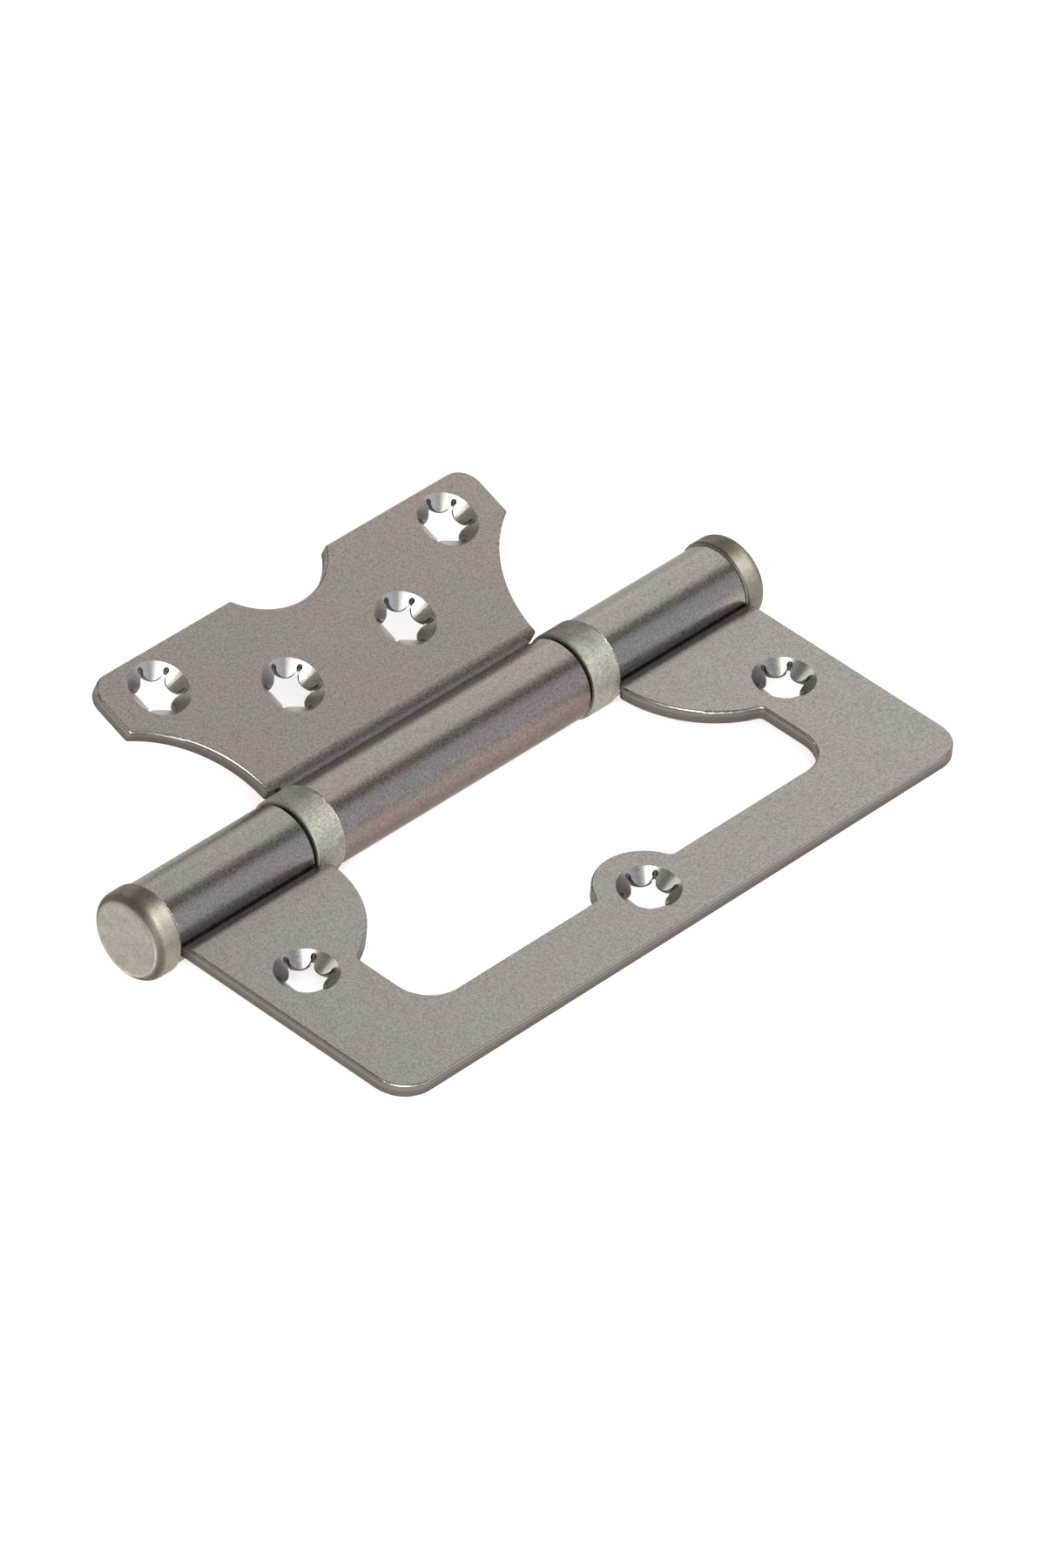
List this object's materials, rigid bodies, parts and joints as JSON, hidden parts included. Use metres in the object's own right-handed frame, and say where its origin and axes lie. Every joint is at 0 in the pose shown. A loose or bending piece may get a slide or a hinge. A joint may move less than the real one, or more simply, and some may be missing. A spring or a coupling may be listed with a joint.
{
  "type": "butterfly door hinge",
  "caption": "Butterfly door hinge: a plain leaf that folds into the window of a framed leaf, with bearing collars between rolled knuckles and screw holes with pressed tabs.",
  "frame": {"origin": "on the pin's axis, halfway along the hinge, where the middle planes of both leaves meet", "axes": "+X along the pin towards the far end, +Y towards the door leaf, +Z out of the side that the screw heads go in; the frame leaf lies flat towards -Y, with its middle plane at Z = 0"},
  "size_m": [0.1072, 0.0714, 0.0171],
  "materials": {
    "frame_leaf_nickel": "satin nickel plate on steel sheet",
    "door_leaf_nickel": "satin nickel plate on steel sheet",
    "cap_nickel": "fine satin nickel plate on turned steel",
    "collar_nickel": "fine satin nickel plate on turned steel",
    "pin_steel": "ground steel",
    "race_steel": "dark hardened steel",
    "ball_steel": "polished hardened steel"
  },
  "bodies": {
    "frame_side": {"outer_leaf": "frame_leaf_nickel", "hinge_pin": "pin_steel", "near_cap": "cap_nickel", "far_cap": "cap_nickel", "near_race_washer": "race_steel"},
    "door_side": {"inner_leaf": "door_leaf_nickel", "far_race_washer": "race_steel"},
    "near_bearing": {"near_collar": "collar_nickel", "near_bearing_balls": "ball_steel"},
    "far_bearing": {"far_collar": "collar_nickel", "far_bearing_balls": "ball_steel"}
  },
  "joints": [
    {"name": "leaf_swing", "type": "hinge", "parent": "frame_side", "child": "door_side", "pos_m": [0, 0, 0], "axis": [1, 0, 0], "range_deg": [-110, 159.8]},
    {"name": "near_collar_spin", "type": "hinge", "parent": "frame_side", "child": "near_bearing", "pos_m": [-0.0241, 0, 0], "axis": [1, 0, 0], "continuous": true},
    {"name": "far_collar_spin", "type": "hinge", "parent": "frame_side", "child": "far_bearing", "pos_m": [0.02455, 0, 0], "axis": [1, 0, 0], "continuous": true}
  ]
}
